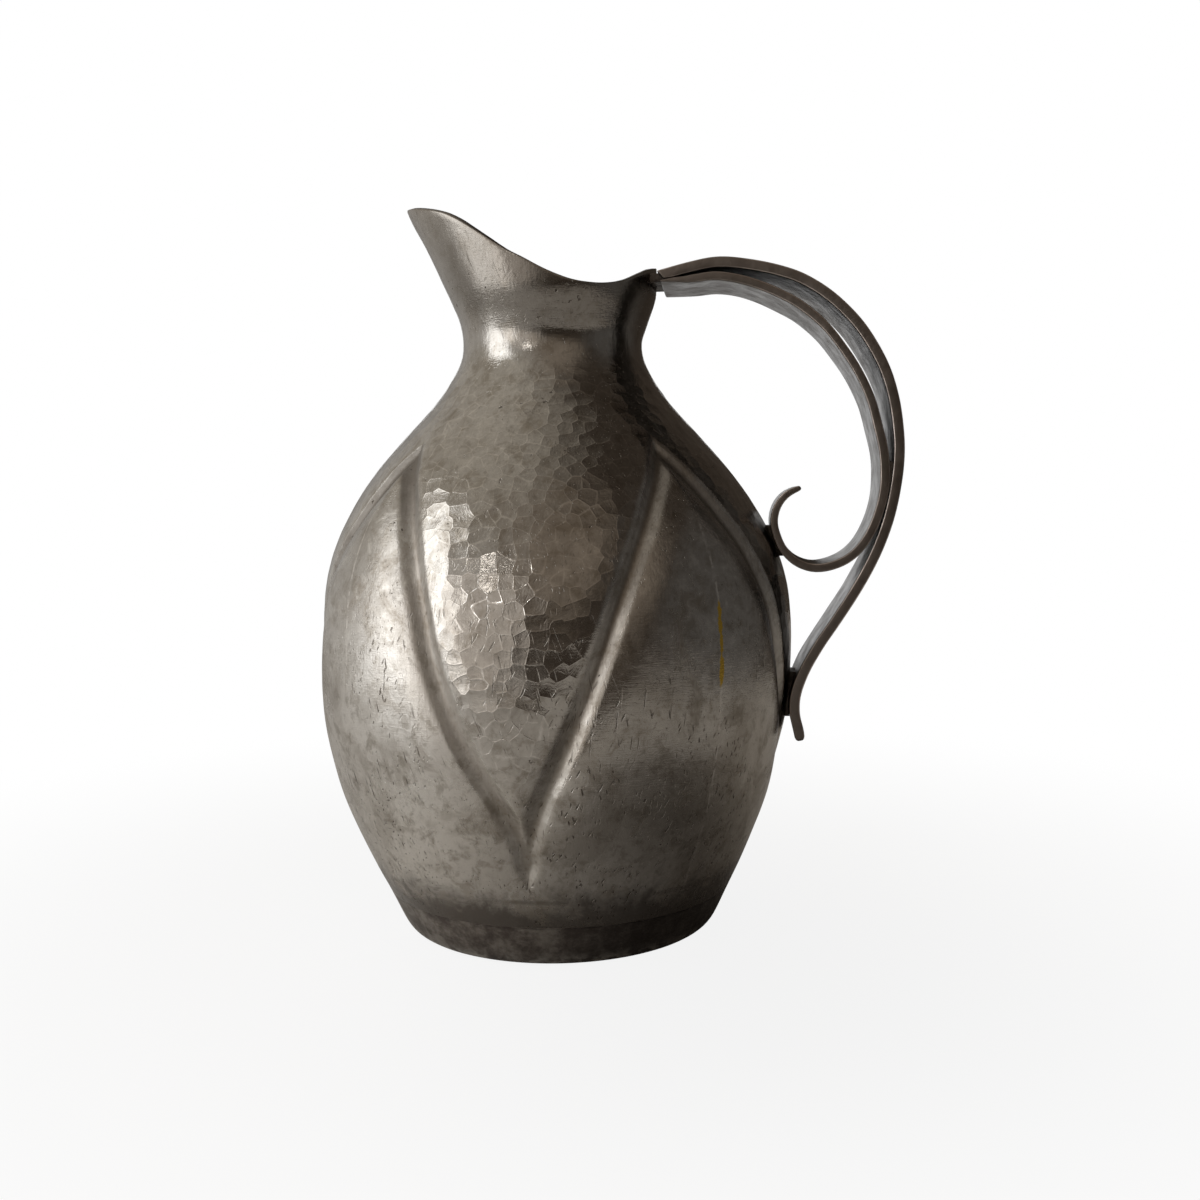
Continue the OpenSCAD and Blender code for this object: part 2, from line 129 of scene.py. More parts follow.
# %% [markdown]
# A smooth curve goes through the points of each list, with the lean at a point taken from its
# two neighbours. It is computed for all points at once, which keeps a fine mesh quick to shape.
# The two leaf borders at the front wander a little from the template.

# %% Smooth curves through the lists
left_border = (np.array([28, 38, 50, 70, 86, 98, 110, 125, 140]),
               np.array([0, -0.2, -0.9, -1.1, -1, 0.3, 1.4, 2, 2]))
right_border = (np.array([28, 40, 50, 60, 74, 86, 98, 110, 125, 140]),
                np.array([0, 0, -0.6, -1.4, -2.2, -2.2, -2, -1.4, -0.6, -0.3]))


def through(x, line):
    """Smooth curve through the points of a line, for one number or many."""
    xs, ys = line
    x = np.asarray(x, float)
    lean = np.empty(len(xs))
    lean[1:-1] = (ys[2:] - ys[:-2]) / (xs[2:] - xs[:-2])
    lean[0] = (ys[1] - ys[0]) / (xs[1] - xs[0])
    lean[-1] = (ys[-1] - ys[-2]) / (xs[-1] - xs[-2])
    i = np.clip(np.searchsorted(xs, x, side="right") - 1, 0, len(xs) - 2)
    d = xs[i + 1] - xs[i]
    t = np.clip((x - xs[i]) / d, 0, 1)
    return ((2 * t**3 - 3 * t**2 + 1) * ys[i] + (t**3 - 2 * t**2 + t) * d * lean[i]
            + (3 * t**2 - 2 * t**3) * ys[i + 1] + (t**3 - t**2) * d * lean[i + 1])


def ease(t):
    """Zero up to 0, one from 1 on, and soft at both ends."""
    t = np.clip(t, 0, 1)
    return t * t * (3 - 2 * t)


def drift(z, turn):
    """Degrees by which the two front borders wander from the template."""
    right_side = ease((turn - 70) / 40)
    wander = through(z, left_border) * (1 - right_side) + through(z, right_border) * right_side
    return wander * ease((turn - 8) / 30) * (1 - ease((turn - 142) / 30))


def on_wall(degrees, r):
    """Length of a part of a turn on a wall of radius r."""
    return degrees * math.pi / 180 * r


def radius(z, turn):
    """Radius of the body at a height, turn degrees away from the spout."""
    back = through(z, back_line)
    pull = ((1 + np.cos(np.radians(turn))) / 2) ** 3
    return back + (through(z, spout_line) - back) * pull * (z > neck_h)


print("belly", round(2 * float(radius(80, 90))), "mm wide, neck",
      round(2 * float(radius(neck_h, 90))), "mm")

# %% [markdown]
# ## Chased leaves
# The border of a leaf is a round-bottomed line, punched into the sheet from outside.
# The sheet sinks softly towards the line on both sides, the leaf swells a little,
# and a soft ridge runs down its middle.
# So the relief is a small height for each point, found from its distance to the border.
# The signed distance is kept, because the hammer marks stop at the same border.

# %% Relief of the leaves
groove_d, groove_w, leaf_d, leaf_swell, ridge_d = 1.5, 7.4, 0.4, 9, 0.7
shoulder_d, shoulder_w, shoulder_end, shoulder_fade = 0.7, 10.5, 118, 16
fade_low, fade_run = 0.12 * neck_h, 0.16 * neck_h


def leaf_relief(z, turn, r):
    """Relief height, distance inside the leaf, and how deep in the chased line a point is."""
    fold = np.abs((turn - drift(z, turn) + 45) % 90 - 45)
    edge = through(z, field_line)
    lean = on_wall(through(z + 1, field_line) - edge, r)
    s = on_wall(fold - edge, r) / np.sqrt(1 + lean**2)
    middle = np.clip((fold - edge) / np.maximum(45 - edge, 1), 0, 1)
    low = ease((z - fade_low) / fade_run)
    line = np.clip(1 - (2 * s / groove_w) ** 2, 0, 1) ** 2
    shoulder = (1 - ease(np.abs(s) / shoulder_w)) * (1 - ease((z - shoulder_end) / shoulder_fade))
    height = (low * (leaf_d * ease(s / leaf_swell) + ridge_d * middle * ease(s / groove_w)
                     - shoulder_d * shoulder) - groove_d * line)
    top = z > field_line[0][-1]
    return np.where(top, 0, height), np.where(top, -9, s), np.where(top, 0, line)


print("a leaf starts", round(field_line[0][1]), "mm up and ends", round(field_line[0][-2]), "mm up")

# %% [markdown]
# ## Hammer marks
# Planishing covers the fields with overlapping blows of a flat hammer.
# A blow leaves a small flat facet, and two facets meet in a fine ridge, so the whole looks like scales.
# Against the round wall a flat facet is a shallow bowl around its own centre,
# and the surface is the lowest of all the bowls.
# The centres lie on rings with a little chance in them, as rows of hand blows do.

# %% Rings of hammer blows
rng = np.random.default_rng(7)
fine_z = np.linspace(0, 215, 860)
fine_arc = np.concatenate(([0], np.cumsum(np.hypot(np.diff(fine_z),
                                                   np.diff(through(fine_z, back_line))))))
row_mm, blow_mm, bowl, chance = 3.7, 4.2, 0.0115, 0.24
first_ring, last_ring = np.interp((34, 168), fine_z, fine_arc)
ring_arc = np.arange(first_ring, last_ring, row_mm)
ring_r = through(np.interp(ring_arc, fine_arc, fine_z), back_line)
ring_n = np.round(2 * math.pi * ring_r / blow_mm).astype(int)
ring_start = np.concatenate(([0], np.cumsum(ring_n)[:-1]))
blow_turn, blow_arc = [], []
for i, count in enumerate(ring_n):
    step = 360 / count
    blow_turn.append((np.arange(count) + 0.5 * (i % 2) + rng.uniform(-chance, chance, count)) * step)
    blow_arc.append(ring_arc[i] + rng.uniform(-chance, chance, count) * row_mm)
blow_turn, blow_arc = np.concatenate(blow_turn), np.concatenate(blow_arc)
blow_r = np.repeat(ring_r, ring_n)
blow_depth = rng.uniform(0, 0.02, len(blow_turn))
blow_bowl = bowl * rng.uniform(0.7, 1.35, len(blow_turn))
blow_tilt = rng.normal(0, 0.012, (2, len(blow_turn)))
print(len(blow_turn), "hammer blows on", len(ring_n), "rings")

# %% [markdown]
# A ridge is much finer than the mesh. To draw it sharp, the blows are dealt into six hands at most,
# so that neighbours are never in the same hand. Within one hand the lowest bowl is a smooth height,
# which a mesh can carry. The material compares the six heights and finds the ridges by itself.

# %% Deal the blows into hands
hands, apart_mm = 6, 6
hand = np.full(len(blow_turn), -1)
for k in range(len(blow_turn)):
    near = np.abs(blow_arc - blow_arc[k]) < apart_mm
    near[k] = False
    near = np.flatnonzero(near)
    across = on_wall((blow_turn[near] - blow_turn[k] + 180) % 360 - 180, blow_r[k])
    near = near[np.hypot(across, blow_arc[near] - blow_arc[k]) < apart_mm]
    free = [h for h in range(hands) if h not in hand[near]]
    hand[k] = free[0] if free else k % hands
print("blows in each hand:", np.bincount(hand))


# %% Height of the hammered skin
def hammer(z, turn, r):
    """Height of the lowest bowl in each hand, in mm."""
    arc = np.interp(z, fine_z, fine_arc)
    ring = np.round((arc - ring_arc[0]) / row_mm).astype(int)
    heights = np.full((hands, len(z)), 0.4)
    for row in (-2, -1, 0, 1, 2):
        i = np.clip(ring + row, 0, len(ring_n) - 1)
        here = np.round(turn / 360 * ring_n[i] - 0.5 * (i % 2)).astype(int)
        for side in (-2, -1, 0, 1, 2):
            k = ring_start[i] + (here + side) % ring_n[i]
            across = on_wall((turn - blow_turn[k] + 180) % 360 - 180, r)
            along = arc - blow_arc[k]
            h = (blow_bowl[k] * (across**2 + along**2) - blow_depth[k]
                 + blow_tilt[0][k] * across + blow_tilt[1][k] * along)
            for one in range(hands):
                heights[one] = np.where(hand[k] == one, np.minimum(heights[one], h), heights[one])
    return heights


print("ridge height about", round(bowl * (blow_mm / 2) ** 2, 3), "mm")

# %% [markdown]
# ## Raising the body
# The body is a plain tube first: one upright line of points, spun round the axis.
# The line goes up outside, over the rim and down inside, so the wall is closed and has a thickness.
# In this tube the height counts rows and the radius says how deep in the sheet a point lies.
# The hammered fields and chased lines get a finer mesh, because only they carry small forms.

# %% Spin a tube of rows and columns
rows_body, rows_lip, columns = 104, 26, 252
top_row = rows_body + rows_lip
outside = [(1, 0), (1, 0.03)] + [(1, r) for r in range(1, top_row)]
over_rim = [(1, top_row - 0.22), (0.97, top_row - 0.03), (0.9, top_row), (0.6, top_row),
            (0.53, top_row - 0.03), (0.5, top_row - 0.22)]
inside = [(0.5, r) for r in range(top_row - 2, -1, -3)]
under = [(0.53, 0), (0.985, 0)]


def spun(outline, steps, weld, closed=0):
    """Spin an outline round the axis. Put 1 for closed to join its end to its start."""
    bm = bmesh.new()
    points = [bm.verts.new((x, 0, z)) for x, z in outline]
    edges = [bm.edges.new(pair) for pair in zip(points, points[1:] + points[:closed])]
    bmesh.ops.spin(bm, geom=points + edges, cent=(0, 0, 0), axis=(0, 0, 1), angle=2 * math.pi,
                   steps=steps, use_merge=True, use_duplicate=False)
    bmesh.ops.remove_doubles(bm, verts=bm.verts, dist=weld)
    bmesh.ops.recalc_face_normals(bm, faces=bm.faces)
    return bm


bm = spun(outside + over_rim + inside + under, columns, 1e-5, closed=1)
for e in bm.edges:
    if all(v.co.z < 0.001 and v.co.xy.length > 0.99 for v in e.verts):
        e.smooth = False
print("tube:", len(bm.verts), "points,", len(bm.faces), "faces")

# %% [markdown]
# A row of the tube gets its height and a column its turn round the axis. From these follow
# the radius, the relief of the leaves and the share of the hammer blows, which fade out
# beside the leaves, towards the foot and at the neck.

# %% Place on the body for each point of the tube
shoulder_h = 0.95 * neck_h
blows_from, foot_fade, blows_to, neck_fade = 44, 14, 152, 10


def row_height(row, turn):
    """Height of a row: even along the wall up to the shoulder, then shared out up to the rim."""
    low, high = np.interp((foot_h, shoulder_h), fine_z, fine_arc)
    body = np.interp(low + (high - low) * np.minimum(row, rows_body) / rows_body, fine_arc, fine_z)
    lip = through(np.where(turn > 180, 360 - turn, turn), rim_line) - shoulder_h
    return body + lip * np.maximum(row - rows_body, 0) / rows_lip


def hammered_part(z, s):
    """One on a hammered field, falling to zero in the border of a leaf."""
    return (ease((-s - 0.5 * groove_w + 0.6) / 1.8) * ease((z - blows_from) / foot_fade)
            * (1 - ease((z - blows_to) / neck_fade)))


def tube_places(xyz):
    """Turn, height, radius and relief for points of the tube."""
    turn = np.degrees(np.arctan2(-xyz[:, 1], -xyz[:, 0])) % 360
    z = row_height(xyz[:, 2], turn)
    r = radius(z, turn)
    return turn, z, r, leaf_relief(z, turn, r)


middles = np.array([f.calc_center_median() for f in bm.faces])
turn, z, r, (height, s, line) = tube_places(middles)
skin = np.hypot(middles[:, 0], middles[:, 1]) > 0.98
fine = skin & (z > 22) & (z < 163) & ((hammered_part(z, s) > 0.02) | (np.abs(s) < 4.4))
bm.faces.ensure_lookup_table()
fine_edges = {e for i in np.flatnonzero(fine) for e in bm.faces[i].edges}
bmesh.ops.subdivide_edges(bm, edges=list(fine_edges), cuts=1, use_grid_fill=True)
triangles = sum(len(f.verts) - 2 for f in bm.faces)
print("finer where it matters:", len(bm.faces), "faces,", triangles, "triangles")

# %% [markdown]
# Every piece ends in the same way: its mesh becomes an object that rides on the jug.
# Its points are read and written as one table, and marks for the finish are stored on them.
# Slow chance waves, made with a fixed start, keep a hand-made wall from looking machined.

# %% Helpers for the pieces
def new_thing(name, bm, smooth):
    mesh = bpy.data.meshes.new(name)
    bm.to_mesh(mesh)
    bm.free()
    mesh.polygons.foreach_set("use_smooth", [smooth] * len(mesh.polygons))
    thing = bpy.data.objects.new(name, mesh)
    bpy.context.scene.collection.objects.link(thing)
    return thing


def new_piece(name, bm):
    """Turn a bmesh into a smooth piece that rides on the jug."""
    piece = new_thing(name, bm, True)
    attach(piece, "root")
    return piece


def points_of(piece):
    """All points of a piece as a table with three columns."""
    xyz = np.empty(len(piece.data.vertices) * 3)
    piece.data.vertices.foreach_get("co", xyz)
    return xyz.reshape(-1, 3)


def put_points(piece, xyz):
    piece.data.vertices.foreach_set("co", np.asarray(xyz).ravel())
    piece.data.update()


def mark(piece, name, values):
    """Store one number for each point, for the finish to read."""
    piece.data.attributes.new(name, "FLOAT", "POINT").data.foreach_set("value", values)


def unevenness(xyz, size, seed):
    """Slow chance waves of about -1 to 1, with hollows of the given size in mm."""
    shift = Vector((seed * 7.1, seed * 3.3, seed * 5.7))
    return np.array([noise.noise(Vector(p) / size + shift) for p in xyz])


print("helpers for the pieces ready")

# %% [markdown]
# Now each point of the tube is moved to its place on the body, as clay is pushed on a model.
# The wall keeps its thickness because inner points follow the outer ones square to the wall.
# The heights of the hammer blows are stored in two sets of three, and the chased lines,
# the hammered fields, the leaves and the inner wall are marked for the finish.

# %% Push the tube into the form of the body
body = new_piece("jug_body", bm)
tube = points_of(body)
turn, z, r, (height, s, line) = tube_places(tube)
depth = np.clip(2 * (1 - np.hypot(tube[:, 0], tube[:, 1])), 0, 1)
depth = np.where(depth < 0.01, 0, depth)
lean = radius(z + 1, turn) - r
square = np.sqrt(1 + lean**2)
blows = hammer(z, turn, r)
field = hammered_part(z, s) * (depth < 0.01)
angle = np.radians(turn)
rough_place = np.column_stack((-r * np.cos(angle), -r * np.sin(angle), z))
waves = 0.13 * unevenness(rough_place, 34, 1) + 0.015 * unevenness(rough_place, 10, 2)
lowest = 0.5 * (blows.min(axis=0) - 0.03)
push = height + (lowest * field + waves * ease((z - foot_h) / 6)) / square
reach = r + push - wall * depth / square
rise = z + wall * depth * lean / square - lowest * field * lean / square
put_points(body, mm * np.column_stack((through(rise, sway_line) - reach * np.cos(angle),
                                       -reach * np.sin(angle), rise)))
for name, part in (("blows_a", blows[:3]), ("blows_b", blows[3:])):
    store = body.data.attributes.new(name, "FLOAT_VECTOR", "POINT")
    store.data.foreach_set("vector", part.T.ravel())
mark(body, "field", hammered_part(z, s))
mark(body, "leaf", ease((s - 4) / 5) * (depth < 0.01))
mark(body, "chased", line)
mark(body, "inside", ease(depth * 2))
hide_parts("body_shell")
print("body:", len(body.data.vertices), "points, tallest", round(rise.max(), 1), "mm")

# %% [markdown]
# ## Bottom pan
# A shallow pan closes the foot. It was spun on a lathe, soldered on and knocked about since.
# Its side view is a short open line, and the two ends on the axis close when it is spun.
# The outer corner rolls from the flat into the flare in one soft curve,
# which is what years of sliding on a table leave.

# %% Spin the pan
pan_h, corner_h, corner_w = 12.2, 5.0, 8.4
roll_h, roll_w, roll_more, flare = 9.5, 8.3, 1.8, 0.46
flat = base_r - corner_w
quarter = np.radians(np.linspace(0, 90, 13))
top_r = float(through(pan_h, back_line))
side = np.linspace(roll_h, pan_h, 5)[1:]
side_r = top_r - flare * (pan_h - side)
roll_r = top_r - flare * (pan_h - roll_h)
t = np.linspace(0, 1, 17)[:, None]
corners = [(flat, 0), (base_r - roll_more, 0), (roll_r - flare * roll_w, roll_h - roll_w),
           (roll_r, roll_h)]
roll = sum(share * np.array([corner]) for share, corner in zip(
    ((1 - t) ** 3, 3 * t * (1 - t) ** 2, 3 * t**2 * (1 - t), t**3), corners))
outline = [(0, 0), (flat * 0.5, 0)] + [tuple(place) for place in roll]
outline += list(zip(side_r, side)) + list(zip(side_r[::-1] - wall, side[::-1]))
outline += [(roll_r - wall, roll_h), (roll_r - wall - 1.5 * flare, roll_h - 1.5)]
outline += [(flat + (corner_w - wall) * math.sin(t), wall + (corner_h - wall) * (1 - math.cos(t)))
            for t in quarter[::-3]]
outline += [(flat * 0.5, wall), (0, wall)]

bm = spun(outline, 240, 1e-4)
for e in bm.edges:
    if all(v.co.z > pan_h - 0.01 for v in e.verts):
        e.smooth = False
pan = new_piece("bottom_dish", bm)
xyz = points_of(pan)
knocks = 0.07 * unevenness(xyz, 14, 3) * ease(xyz[:, 2] / 2) * (1 - ease((xyz[:, 2] - 10) / 2))
xyz[:, :2] *= (1 + knocks / np.maximum(np.hypot(xyz[:, 0], xyz[:, 1]), 1))[:, None]
put_points(pan, xyz * mm)
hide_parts("bottom_pan")
print("pan:", len(pan.data.polygons), "faces")

# %% [markdown]
# ## Handle straps
# A smith cuts a flat strip, eases its edges with a file and bends it round forms.
# The lesson does the same: a long block is cut into short lengths, its edges are bevelled,
# and each point is then carried to its place on the bent line.
# The two lines are the side views of the straps. They were read from the measured model.
# The inner strap is hammered thinner at both ends, and at the rim both are cut aslant.

# %% Side views of the two straps, in mm from the axis and the foot
outer_knots = [(30.95, 183.98), (40.52, 186.23), (48.05, 187.16), (56.04, 186.36), (64.23, 184.38),
               (71.95, 181.33), (79.95, 175.76), (87.09, 168.07), (92.72, 158.39), (95.93, 148.85),
               (97.37, 138.91), (97.5, 130.95), (96.52, 123.13), (94.49, 114.12), (91.47, 106.17),
               (86.34, 96.49), (80.51, 87.21), (76.12, 80.58), (72.36, 74.09), (69.87, 67.33),
               (69.48, 62.29), (70.46, 57.78), (70.99, 54.6)]
inner_knots = [(32.15, 180.95), (40.52, 180.98), (46.54, 181.38), (52.44, 180.52), (58.53, 178.5),
               (64.23, 175.67), (69.6, 172.41), (75.48, 167.28), (80.49, 160.78), (84.19, 154.81),
               (87.48, 147.66), (89.48, 139.97), (90.79, 133.61), (91.11, 127.51), (90.52, 121.41),
               (88.51, 114.91), (85.7, 109.74), (82.17, 106.3), (77.86, 104.31), (73.45, 103.78),
               (69.35, 105.24), (66.08, 108.29), (64.25, 112.13), (63.59, 115.71), (64.51, 119.42),
               (66.73, 122.21), (70.14, 124.06)]
inner_thick = [0.2, 0.88, 1, 1, 1, 1, 1, 0.96, 0.94, 0.95, 0.98, 1.03, 1.07, 1.07, 1.05, 1.02, 1, 1,
               1, 0.98, 0.95, 0.9, 0.87, 0.85, 0.85, 0.8, 0.6]
strap_w, tail_end, handle_top, knot_steps = 28.0, 54.6, 187.159, 40
width_line = (tail_end + (handle_top - tail_end) * np.array([-0.2, 0, 0.3, 0.5, 0.65, 0.83, 1.2]),
              strap_w * np.array([0.84, 0.84, 0.87, 0.88, 0.93, 1, 1]))
end_slant = np.array([-0.664, 0.748])


def bent_line(knots):
    """Even steps along the smooth curve through the knots, with the direction square to it."""
    p = np.array([knots[0]] + list(knots) + [knots[-1]])
    t = np.linspace(0, 1, knot_steps, endpoint=False)[:, None]
    fine = [(2 * b + (c - a) * t + (2 * a - 5 * b + 4 * c - d) * t**2
             + (3 * b - a - 3 * c + d) * t**3) / 2 for a, b, c, d in zip(p, p[1:], p[2:], p[3:])]
    fine = np.vstack(fine + [p[-1:]])
    knot_of = np.arange(len(fine)) / knot_steps
    run = np.concatenate(([0], np.cumsum(np.hypot(*np.diff(fine, axis=0).T))))
    way = np.gradient(fine, axis=0)
    way /= np.hypot(way[:, 0], way[:, 1])[:, None]
    square = np.column_stack((-way[:, 1], way[:, 0]))
    near_start = (1 - ease(run / 4))[:, None]
    return run, fine, square * (1 - near_start) + end_slant * near_start, knot_of


for name, knots in (("outer", outer_knots), ("inner", inner_knots)):
    print(name, "strap", round(bent_line(knots)[0][-1]), "mm long")


# %% Cut, bevel and bend a strap
cell_mm, cells_across, filed_mm, worn_mm = 1.1, 18, 0.42, 0.75


def strap_piece(name, knots, thick, shares, tip, twist):
    """A flat strip with filed edges, bent along the knots. The sign of thick gives the side."""
    run, fine, square, knot_of = bent_line(knots)
    length = run[-1]
    bm = bmesh.new()
    bmesh.ops.create_grid(bm, x_segments=int(length / cell_mm), y_segments=cells_across, size=1,
                          matrix=Matrix.Diagonal((length / 2, strap_w / 2, 1, 1)))
    bmesh.ops.solidify(bm, geom=bm.faces[:], thickness=abs(thick))
    bmesh.ops.recalc_face_normals(bm, faces=bm.faces)
    sharp = [e for e in bm.edges if e.calc_face_angle(0) > 1]
    bmesh.ops.bevel(bm, geom=sharp, offset=filed_mm, segments=4, profile=0.5, affect="EDGES",
                    material=-1)
    piece = new_piece(name, bm)
    flat = points_of(piece)
    depth = (flat[:, 2] - flat[:, 2].min()) / np.ptp(flat[:, 2])
    along = flat[:, 0] + length / 2
    across = flat[:, 1] / (strap_w / 2)
    middle = np.column_stack([np.interp(along, run, fine[:, k]) for k in (0, 1)])
    out = np.column_stack([np.interp(along, run, square[:, k]) for k in (0, 1)])
    full = thick * np.interp(np.interp(along, run, knot_of), np.arange(len(shares)), shares)
    left = np.clip((length - along) / tip, 0, 1)
    kept = 0.35 + 0.65 * np.sqrt(1 - (1 - left) ** 2)
    beat = 0.13 * unevenness(np.column_stack((along, flat[:, 1], along * 0)), 11, len(knots))
    free = ease((along - 6) / 8) * ease((length - along - 3) / 8)
    off = full * (0.5 + (depth - 0.5) * kept) + beat * free + twist(along / length, across)
    place = middle + out * off[:, None]
    side = np.column_stack((along, np.sign(across) * 40, along * 0))
    y = (flat[:, 1] * through(place[:, 1], width_line) / strap_w
         + 0.12 * unevenness(side, 9, 6) * across**3)
    put_points(piece, mm * np.column_stack((place[:, 0], y, place[:, 1])))
    to_edge = np.maximum(0, strap_w / 2 - np.abs(flat[:, 1]))
    to_face = (0.5 - np.abs(depth - 0.5)) * abs(thick)
    mark(piece, "burr", ease(1 - np.hypot(to_edge, to_face) / worn_mm))
    mark(piece, "edge_face", ease(1 - to_edge / 0.3))
    print(name, len(piece.data.polygons), "faces")
    return piece


print("a strap is", strap_w, "mm wide at the rim")

# %% [markdown]
# The straps are not quite flat across. The far side of the outer one is bent in where the two
# part, and the near side of the inner one hangs lower at the rim. So each gets a twist of its own.

# %% Bend both straps
def outer_twist(t, across):
    far = ease((across + 0.2) / 1.2)
    return -0.5 * far * np.exp(-((t - 0.36) / 0.08) ** 2)


def inner_twist(t, across):
    near = ease((0.3 - across) / 1.3)
    return -0.4 * near * ease((t - 0.005) / 0.05) * (1 - ease((t - 0.14) / 0.12))


outer_t, inner_t, outer_tip, inner_tip = 2.85, 2.4, 1.6, 1.2
outer = strap_piece("outer_strap_bent", outer_knots, -outer_t, [1, 1], outer_tip, outer_twist)
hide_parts("outer_strap")
inner = strap_piece("inner_strap_bent", inner_knots, inner_t, inner_thick, inner_tip, inner_twist)
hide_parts("inner_strap")

# %% [markdown]
# ## Solder
# The straps are held by lumps of soft solder at the rim, between the two straps, behind the scroll
# and behind the tail. Solder creeps into the corners and sets with a soft, slightly lumpy skin.
# Each lump starts as a merged copy of its measured piece, gets round edges and a little chance.

# %% Solder lumps
def solder_piece(name, node, roundness, lump, narrow=1.0, lift=0.0):
    """A measured joint with round edges, drawn in a little from the sides of the straps."""
    bm = bmesh.new()
    bm.from_mesh(frame["nodes"][node].data)
    bmesh.ops.remove_doubles(bm, verts=bm.verts, dist=1e-6)
    bmesh.ops.dissolve_limit(bm, angle_limit=math.radians(4), verts=bm.verts, edges=bm.edges)
    bmesh.ops.recalc_face_normals(bm, faces=bm.faces)
    sharp = [e for e in bm.edges if e.calc_face_angle(0) > 0.6]
    bmesh.ops.bevel(bm, geom=sharp, offset=roundness * mm, segments=3, profile=0.5,
                    affect="EDGES", clamp_overlap=True, material=-1)
    bmesh.ops.triangulate(bm, faces=bm.faces)
    for _ in range(5):
        long = [e for e in bm.edges if e.calc_length() > 1.2 * mm]
        if not long:
            break
        bmesh.ops.subdivide_edges(bm, edges=long, cuts=1)
        bmesh.ops.triangulate(bm, faces=bm.faces)
    piece = new_piece(name, bm)
    xyz = points_of(piece)
    outward = np.array([v.normal[:] for v in piece.data.vertices])
    lumps = lump * (unevenness(xyz / mm, 2.5, 11) - 0.7)
    xyz = xyz + outward * (lumps * mm)[:, None]
    xyz[:, 1] *= narrow
    xyz[:, 2] += lift * (xyz[:, 2].max() - xyz[:, 2])
    put_points(piece, xyz)
    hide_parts(node)
    print(name, len(piece.data.polygons), "faces")
    return piece


solder = [solder_piece("solder_at_rim", "rim_joint", 0.3, 0.12, 0.62, 0.3),
          solder_piece("solder_between_straps", "strap_joint", 0.03, 0.02, 0.96),
          solder_piece("solder_at_scroll", "scroll_joint", 0.05, 0.05, 0.8),
          solder_piece("solder_at_tail", "tail_joint", 0.05, 0.05, 0.8),
          solder_piece("solder_at_foot", "bottom_seam", 0.03, 0.0)]

# %% [markdown]
# ## Pewter
# Pewter is a soft white metal that has gone warm grey with age. It is all metal in the shader:
# the base colour is the colour of its mirror image, and roughness spreads that image.
# A few helpers keep the node trees short: each one adds a node and returns its output.
# The first ones do sums and mix colours, for the jug and for what stands round it.

# %% Helpers for sums and colours
class Tree:
    """A node tree under construction, with the place that its patterns lie on."""

    def __init__(self, owner, place="Object"):
        owner.use_nodes = True
        self.nodes, self.links = owner.node_tree.nodes, owner.node_tree.links
        self.place = self.nodes.new("ShaderNodeTexCoord").outputs[place]

    def put(self, socket, value):
        """Link an output to a socket, or write a plain value or colour into it."""
        if isinstance(value, bpy.types.NodeSocket):
            self.links.new(value, socket)
        else:
            socket.default_value = (*value, 1) if socket.type == "RGBA" else value

    def feed(self, n, *pairs):
        """Put a value into each named or numbered input of a node."""
        for key, value in pairs:
            self.put(n.inputs[key], value)
        return n

    def fill(self, kind, *pairs):
        return self.feed(self.nodes.new(kind), *pairs)

    def math(self, kind, a, b=0.0):
        n = self.fill("ShaderNodeMath", (0, a), (1, b))
        n.operation = kind
        return n.outputs[0]

    def both(self, a, b):
        return self.math("MULTIPLY", a, b)

    def either(self, first, *more):
        for value in more:
            first = self.math("MAXIMUM", first, value)
        return first

    def total(self, first, *more):
        for value in more:
            first = self.math("ADD", first, value)
        return first

    def span(self, value, a, b, to_a=0.0, to_b=1.0):
        """Where the value is between a and b, eased, and written as to_a to to_b."""
        n = self.fill("ShaderNodeMapRange", ("Value", value), ("From Min", a), ("From Max", b),
                      ("To Min", to_a), ("To Max", to_b))
        n.interpolation_type = "SMOOTHSTEP"
        return n.outputs["Result"]

    def measure(self, kind, vector, other=(0, 0, 0)):
        """One number from a vector, such as its DISTANCE to another one."""
        n = self.fill("ShaderNodeVectorMath", (0, vector), (1, other))
        n.operation = kind
        return n.outputs["Value"]

    def near(self, point, start, end):
        """One at a point of the piece and none farther off than the end."""
        return self.span(self.measure("DISTANCE", self.place, point), start, end, 1, 0)

    def blend(self, share, a, b):
        n = self.nodes.new("ShaderNodeMix")
        n.data_type = "RGBA"
        under, over = [s for s in n.inputs if s.type == "RGBA"]
        for socket, value in ((n.inputs["Factor"], share), (under, a), (over, b)):
            self.put(socket, value)
        return next(s for s in n.outputs if s.type == "RGBA")

    def coats(self, colour, *layers):
        """Coats of colour, one over the other, each with its share."""
        for share, paint in layers:
            colour = self.blend(share, colour, paint)
        return colour

    def seen_by(self, *rays):
        """One for the named kinds of ray, such as the camera's own."""
        path = self.nodes.new("ShaderNodeLightPath")
        return self.either(*(path.outputs[f"Is {ray} Ray"] for ray in rays))

    def swap(self, share, plain, other):
        """The plain shader, replaced by the other one by a share."""
        return self.fill("ShaderNodeMixShader", (0, share), (1, plain), (2, other)).outputs[0]


print("helpers for sums and colours ready")

# %% [markdown]
# The finish of a metal piece needs more: grain and clouds from noise, marks that the mesh carries,
# short strokes left by tools and table tops, and bumps. A stroke is a cell pattern pulled long.

